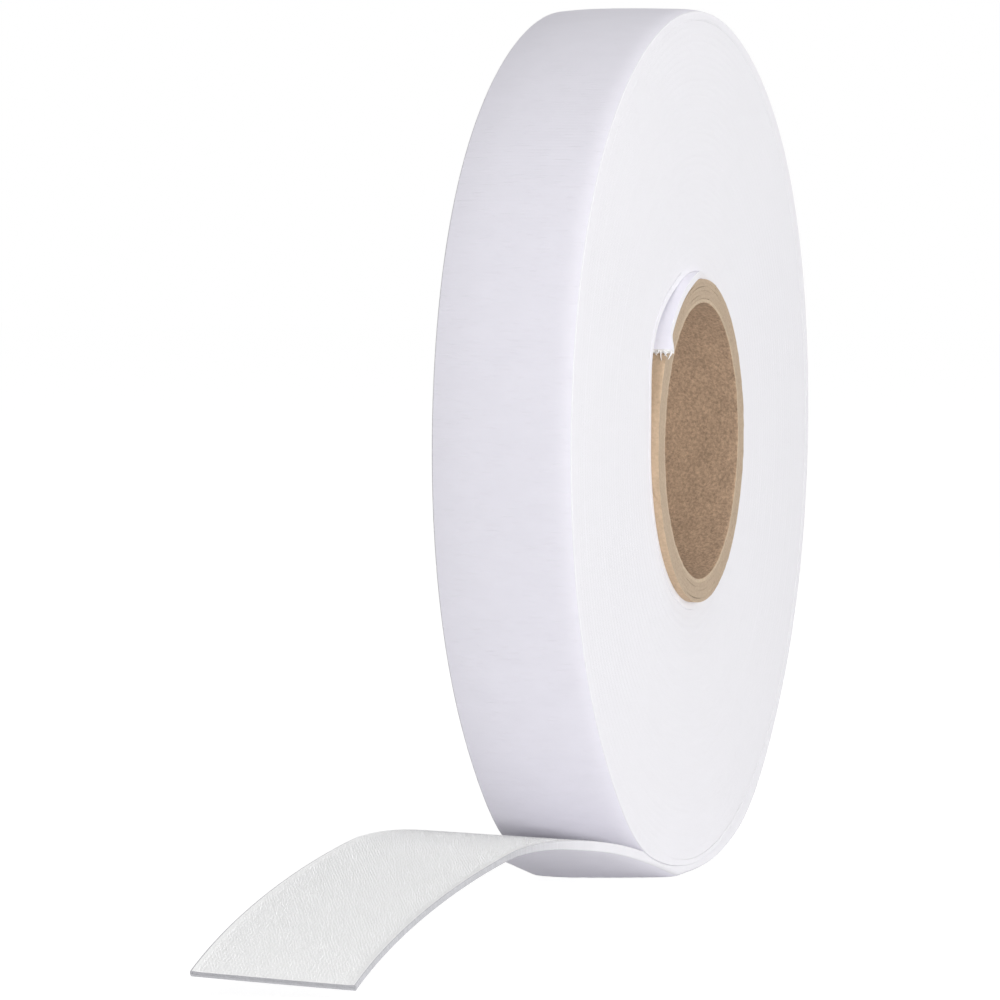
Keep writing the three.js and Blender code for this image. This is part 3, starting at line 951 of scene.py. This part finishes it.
def hook_field(tape, tail, hook, finishes):
    """Rows of bent hooks on the free end: a stem and a nose bent down, turned both ways along the tape."""
    root = 0.1 * MM  # how deep a hook is set in the ground
    row_margin, hook_margin = 0.5 * MM, 0.4 * MM  # bare tape before the cut end
    turning, leaning = 0.9, 0.12  # how far a hook is turned, in radians, and leans
    sides, taper = 3, 0.75
    rng = np.random.default_rng(HOOK_SEED)
    stem = hook.height - hook.bend
    path = ((0, -root), (hook.bend, hook.height), (2 * hook.bend, stem))
    field = tape.width / 2 - tape.selvage
    rows = np.arange(hook.first_reach, tail.tail_reach - row_margin, hook.row_pitch)
    places = np.arange(-field, field, hook.hook_pitch)
    reach, across = (grid.ravel() for grid in np.meshgrid(rows, places, indexing="ij"))
    odd = np.repeat(np.arange(len(rows)) % 2, len(places))
    across = across + odd * hook.hook_pitch / 2 + rng.normal(0, hook.scatter, len(across))
    cut = tail_end(across, tape, tail)
    reach = (reach + rng.normal(0, hook.scatter, len(reach))) * cut / tail.tail_reach
    kept = (np.abs(across) < field) & (reach < cut - hook_margin)
    reach, across, odd = reach[kept], across[kept], odd[kept]
    base, up = tail_back(reach, across, tape, tail)
    lift = tail_thickness(reach, tape) + drop_at(across, tape) * held_crown(reach) - tape.ground_recess
    origins = base + up * lift[:, None]
    sideways = np.tile([0.0, 1.0, 0.0], (len(reach), 1))
    facing = np.where(odd, 1.0, -1.0)[:, None]
    spin = rng.normal(0, turning, len(reach))[:, None]
    forward = np.cross(sideways, up) * facing
    along = forward * np.cos(spin) + sideways * np.sin(spin)
    tilt = unit(up + leaning * rng.normal(size=up.shape))
    shape = tube_shape(path, hook.wire, sides, taper)
    points, faces = copies(shape, origins, along, np.cross(tilt, along), tilt)
    return add_piece("hook_field", points, faces, finishes)


def yarn_ends(name, origins, ahead, outward, longest, thick, seed, finishes):
    """Cut yarns that stand out of a cut end: short tapering tubes, each bent and turned its own way."""
    steps, sides, taper, curl = 5, 4, 0.15, 0.3
    splaying, shortest = 0.3, 0.25  # spread of the headings, and the shortest yarn's share of the longest
    rng = np.random.default_rng(seed)
    count = len(origins)
    t = np.linspace(0, 1, steps)
    shape = tube_shape(np.stack([longest * t, curl * longest * t ** 2], axis=-1), thick, sides, taper)
    spin = rng.uniform(0, TURN, count)[:, None]
    splay = rng.normal(0, splaying, (count, 3))
    size = rng.uniform(shortest, 1, count)[:, None]
    along = unit(ahead + splay) * size
    side = unit(np.cross(along, outward))
    up = unit(np.cross(side, along))
    bent = side * np.cos(spin) + up * np.sin(spin)
    points, faces = copies(shape, origins, along, np.cross(bent, unit(along)), bent)
    return add_piece(name, points, faces, finishes)


def start_yarns(start, tape, core, finishes):
    """Yarn ends along the cut of the first turn, in two rows over its thickness."""
    spacing, margin, row_shift = 1.5 * MM, 0.5 * MM, 0.5 * MM
    longest, thick = 2.6 * MM, 0.34 * MM
    line, outward, _ = start_line(start, tape, START_STEPS)
    across = np.arange(-tape.width / 2 + margin, tape.width / 2, spacing)
    across = np.concatenate([across, across + row_shift]) - start.overhang - start.flare
    depth = np.repeat([0.3, 0.65], len(across) // 2) * tape.pitch
    ahead = unit(line[0] - line[1])
    flat = line[0] + depth[:, None] * outward[0]
    origins = np.stack([flat[:, 0], across, AXIS_HEIGHT + flat[:, 1]], axis=-1)
    direction = np.tile([ahead[0], 0, ahead[1]], (len(across), 1))
    away = np.tile([outward[0, 0], 0, outward[0, 1]], (len(across), 1))
    origins = settled(origins - YARN_ROOT * direction, core)
    return yarn_ends("start_yarns", origins, direction, away, longest, thick, START_SEED, finishes)


def tip_yarns(tape, tail, finishes):
    """Yarn ends along the cut of the free end, in two rows over its thickness."""
    spacing, front_margin, rear_margin = 0.45 * MM, 0.3 * MM, 0.2 * MM
    longest, thick = 0.55 * MM, 0.11 * MM
    across = np.arange(-tape.width / 2 + front_margin, tape.width / 2 - rear_margin, spacing)
    across = np.concatenate([across, across])
    base, up = tail_back(tail_end(across, tape, tail), across, tape, tail)
    depth = np.repeat([0.55, 0.85], len(across) // 2) * (tape.loose_thickness - tape.ground_recess)
    ahead = unit(np.cross(up, np.tile([0.0, -1.0, 0.0], (len(across), 1))))
    origins = base + up * depth[:, None] - YARN_ROOT * ahead
    return yarn_ends("tip_yarns", origins, ahead, up, longest, thick, TIP_SEED, finishes)


# Operators

class TAPEROLL_OT_core(bpy.types.Operator):
    """Adds the six paper plies of the core"""

    bl_idname = "taperoll.core"
    bl_label = "Paper core"

    def execute(self, context):
        core, colours = context.scene.taperoll_core, context.scene.taperoll_colours
        board, outside = sawn_board(colours), pale_kraft_outside(colours)
        walls = np.linspace(core.bore_radius, CORE_RADIUS, len(PLY_NODES) + 1)
        for index, node in enumerate(PLY_NODES):
            finishes = [board, board, board]
            if index == 0:
                finishes[:2] = brown_kraft_liner(colours), torn_kraft_edge(colours)
            if node == PLY_NODES[-1]:
                finishes[2] = outside
            ply = core_ply(index, walls[index], walls[index + 1] - PLY_GAP, core, finishes)
            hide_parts(node)
            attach(ply, "roll")
        return {"FINISHED"}


class TAPEROLL_OT_start_turn(bpy.types.Operator):
    """Adds the first turn of tape on the core, with its cut end"""

    bl_idname = "taperoll.start_turn"
    bl_label = "First turn"

    def execute(self, context):
        scene = context.scene
        colours = scene.taperoll_colours
        ground = hooked_ground(colours)
        finishes = (woven_nylon_back(colours), ground, nylon_selvage(colours), ground)
        start, tape, core = scene.taperoll_start, scene.taperoll_tape, scene.taperoll_core
        strip = start_turn(start, tape, core, finishes)
        yarns = start_yarns(start, tape, core, (drawn_nylon_wire(colours),))
        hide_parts("first_turn")
        for piece in (strip, yarns):
            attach(piece, "roll")
        return {"FINISHED"}


class TAPEROLL_OT_wound_turns(bpy.types.Operator):
    """Adds the wound turns between the first turn and the outer strip"""

    bl_idname = "taperoll.wound_turns"
    bl_label = "Wound turns"

    def execute(self, context):
        scene = context.scene
        finishes = (nylon_selvage(scene.taperoll_colours),)
        piece = wound_turns(scene.taperoll_start, scene.taperoll_tape, scene.taperoll_core, finishes)
        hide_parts("packed_turns")
        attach(piece, "roll")
        return {"FINISHED"}


class TAPEROLL_OT_tape_strip(bpy.types.Operator):
    """Adds the outer turns and the free end as one strip of tape, with its hooks"""

    bl_idname = "taperoll.tape_strip"
    bl_label = "Outer turn and free end"

    def execute(self, context):
        scene = context.scene
        tape, tail, colours = scene.taperoll_tape, scene.taperoll_tail, scene.taperoll_colours
        finishes = (woven_nylon_back(colours), hooked_ground(colours),
                    nylon_selvage(colours), cut_nylon_yarn(colours))
        strip = tape_strip(tape, tail, finishes)
        hooks = hook_field(tape, tail, scene.taperoll_hooks, (drawn_nylon_wire(colours),))
        yarns = tip_yarns(tape, tail, (cut_nylon_yarn(colours),))
        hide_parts("outer_turn", "free_end")
        for piece in (strip, hooks, yarns):
            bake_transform(piece)
        return {"FINISHED"}


class TAPEROLL_OT_stage(bpy.types.Operator):
    """Adds the floor, the lamps and the camera"""

    bl_idname = "taperoll.stage"
    bl_label = "Floor, lamps and camera"

    def execute(self, context):
        scene = context.scene
        studio = scene.taperoll_studio
        add_floor(scene.taperoll_colours)
        light_sky(scene, studio)
        for name, (place, width, height) in LAMPS.items():
            add_lamp(name, getattr(studio, name), place, width, height)
        add_camera(scene, studio)
        scene.view_settings.view_transform = "Standard"
        return {"FINISHED"}


# Stage

# Place, width and height of each lamp
LAMPS = {
    "top": ((-0.5, -0.3, 2.2), 1.2, 1.2),
    "side": ((0.1, -1.2, 0.5), 0.8, 0.5),
    "low": ((-1.4, -1.4, 0.03), 1.0, 0.05),
}


def seen_directly(tree):
    """1 for rays that show the background itself: from the camera, or through gloss or glass."""
    path = add_node(tree, "ShaderNodeLightPath").outputs
    gloss = combine(tree, "MAXIMUM", path["Is Glossy Ray"], path["Is Transmission Ray"])
    return combine(tree, "MAXIMUM", path["Is Camera Ray"], gloss)


def shown_instead(tree, lighting, shown):
    """One shader for the light that falls on the object, and another for what is seen directly."""
    return add_node(tree, "ShaderNodeMixShader", {
        0: seen_directly(tree), 1: lighting.outputs[0], 2: shown.outputs[0]}).outputs[0]


def add_floor(colours):
    """A wide disc of white paper that shows white where it is lit and keeps the object's shadow."""
    finish = bpy.data.materials.new("white_paper_floor")
    finish.use_nodes = True
    tree = finish.node_tree
    tree.nodes.clear()
    shadow_tone, glow_strength = linear("8F8F8F"), 0.92
    round_steps, radius_steps, floor_radius = 96, 12, 6
    lit = add_node(tree, "ShaderNodeBsdfDiffuse", {"Color": tuple(colours.floor)})
    shadow = add_node(tree, "ShaderNodeBsdfDiffuse", {"Color": shadow_tone})
    glow = add_node(tree, "ShaderNodeEmission", {"Strength": glow_strength})
    shown = add_node(tree, "ShaderNodeAddShader", {0: shadow.outputs[0], 1: glow.outputs[0]})
    add_node(tree, "ShaderNodeOutputMaterial", {"Surface": shown_instead(tree, lit, shown)})
    turn = np.linspace(0, TURN, round_steps, endpoint=False)[:, None]
    radius = np.linspace(0, floor_radius, radius_steps)
    points = np.stack([radius * np.cos(turn), radius * np.sin(turn), 0 * radius * turn], axis=-1)
    faces = grid_quads(round_steps, radius_steps, closed_rows=True)
    floor = add_piece("floor", points, faces[:, ::-1], (finish,))


def light_sky(scene, studio):
    """Even white light from all round, and plain white where the camera sees past the floor."""
    world = bpy.data.worlds.new("white_studio")
    world.use_nodes = True
    scene.world = world
    tree = world.node_tree
    tree.nodes.clear()
    light, white = (add_node(tree, "ShaderNodeBackground", {"Color": (1, 1, 1, 1), "Strength": strength})
                    for strength in (studio.sky, 1.0))
    add_node(tree, "ShaderNodeOutputWorld", {"Surface": shown_instead(tree, light, white)})


def look_from(place, target):
    """Matrix of a lamp at a place that shines at a target."""
    turn = (Vector(target) - Vector(place)).to_track_quat("-Z", "Y").to_matrix().to_4x4()
    return Matrix.Translation(place) @ turn


def add_lamp(name, power, place, size, height):
    """A soft square or wide lamp that shines at the roll's middle."""
    lamp = bpy.data.lights.new(name, "AREA")
    lamp.shape = "RECTANGLE"
    lamp.size, lamp.size_y = size, height
    lamp.energy = power
    holder = bpy.data.objects.new(name, lamp)
    holder.matrix_world = look_from(place, (0, 0, AXIS_HEIGHT))
    holder.visible_camera = False
    bpy.context.scene.collection.objects.link(holder)


def add_camera(scene, studio):
    """A camera at the photograph's angle, turned until the roll's middle shows at its pixel."""
    picture, sensor = 1000, 36.0
    sideways, level = math.sin(-studio.azimuth), math.cos(studio.azimuth)
    back = np.array([sideways * math.cos(studio.elevation), -level * math.cos(studio.elevation),
                     math.sin(studio.elevation)])
    middle = np.array([0, 0, 0.12])
    right = unit(np.cross(-back, (0, 0, 1)))
    up = np.cross(right, -back)
    right, up = (math.cos(studio.roll) * right + math.sin(studio.roll) * up,
                 math.cos(studio.roll) * up - math.sin(studio.roll) * right)
    aside = (picture / 2 - studio.middle_x) / studio.focal_pixels
    above = (studio.middle_y - picture / 2) / studio.focal_pixels
    ahead = unit(-back + aside * right + above * up)
    right = unit(right - ahead * (right @ ahead))
    up = np.cross(right, ahead)
    data = bpy.data.cameras.new("photo_view")
    data.sensor_width = sensor
    data.lens = studio.focal_pixels / picture * sensor
    data.clip_end = 50
    camera = bpy.data.objects.new("photo_view", data)
    axes = np.eye(4)
    axes[:3, 0], axes[:3, 1], axes[:3, 2] = right, up, -ahead
    axes[:3, 3] = middle + studio.distance * back
    camera.matrix_world = Matrix(axes.tolist())
    scene.collection.objects.link(camera)
    scene.camera = camera


class TAPEROLL_PT_sidebar(bpy.types.Panel):
    """Lists the roll's pieces and their settings"""

    bl_idname = "TAPEROLL_PT_sidebar"
    bl_label = "Hook Tape Roll"
    bl_space_type = "VIEW_3D"
    bl_region_type = "UI"
    bl_category = "Tape Roll"

    def draw(self, context):
        for operator in OPERATORS:
            self.layout.operator(operator.bl_idname)
        for name, group in SETTINGS.items():
            box = self.layout.box()
            box.label(text=group.__doc__)
            for key in group.__annotations__:
                box.prop(getattr(context.scene, name), key)


SETTINGS = {
    "taperoll_tape": TapeSizes,
    "taperoll_start": StartSizes,
    "taperoll_tail": TailSizes,
    "taperoll_core": CoreSizes,
    "taperoll_hooks": HookSizes,
    "taperoll_colours": TapeColours,
    "taperoll_studio": StudioSettings,
}
OPERATORS = (
    TAPEROLL_OT_stage,
    TAPEROLL_OT_core,
    TAPEROLL_OT_start_turn,
    TAPEROLL_OT_wound_turns,
    TAPEROLL_OT_tape_strip,
)
CLASSES = (*SETTINGS.values(), *OPERATORS, TAPEROLL_PT_sidebar)


def register():
    """Adds the classes and the scene's settings."""
    for made in CLASSES:
        bpy.utils.register_class(made)
    for name, group in SETTINGS.items():
        setattr(bpy.types.Scene, name, bpy.props.PointerProperty(type=group))


def unregister():
    """Removes what register added."""
    for name in SETTINGS:
        delattr(bpy.types.Scene, name)
    for made in reversed(CLASSES):
        bpy.utils.unregister_class(made)


def main():
    """Builds the stage and every piece."""
    register()
    bpy.ops.taperoll.stage()
    bpy.ops.taperoll.core()
    bpy.ops.taperoll.start_turn()
    bpy.ops.taperoll.wound_turns()
    bpy.ops.taperoll.tape_strip()


if __name__ == "__main__":
    main()
